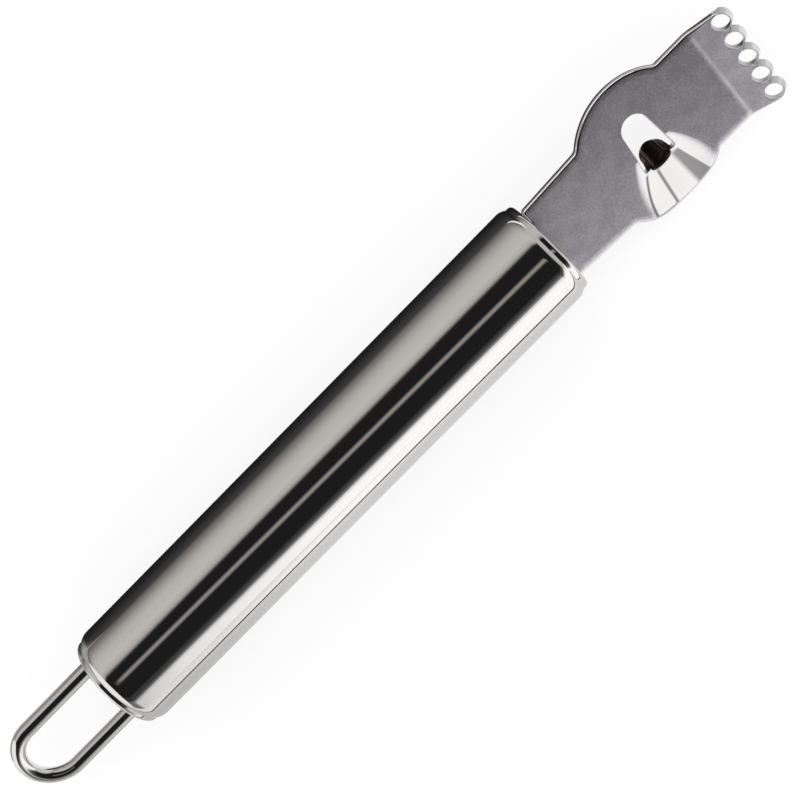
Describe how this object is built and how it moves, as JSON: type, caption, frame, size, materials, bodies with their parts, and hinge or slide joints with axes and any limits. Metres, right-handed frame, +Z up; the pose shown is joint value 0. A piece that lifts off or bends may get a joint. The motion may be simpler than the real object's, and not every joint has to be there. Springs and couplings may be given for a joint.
{
  "type": "citrus zester",
  "caption": "Citrus zester with a round tubular handle, a stamped blade with a bent zesting tip and a pressed channel knife, and a wire hanging loop.",
  "frame": {"origin": "on the surface that the tool lies on, below the middle of its length", "axes": "+X along the handle towards the zesting tip, +Z up; the tool is rolled about X so that the rim of the channel knife's trough, on the -Y side, rests on the surface with the handle"},
  "size_m": [0.16, 0.0192, 0.018],
  "materials": {
    "polished_steel": "mirror-polished stainless steel",
    "satin_steel": "fine satin stainless steel with polished edges"
  },
  "bodies": {
    "root": {"handle_tube": "polished_steel", "front_cap": "polished_steel", "rear_cap": "polished_steel", "blade": "satin_steel", "hanging_loop": "polished_steel"}
  },
  "joints": []
}
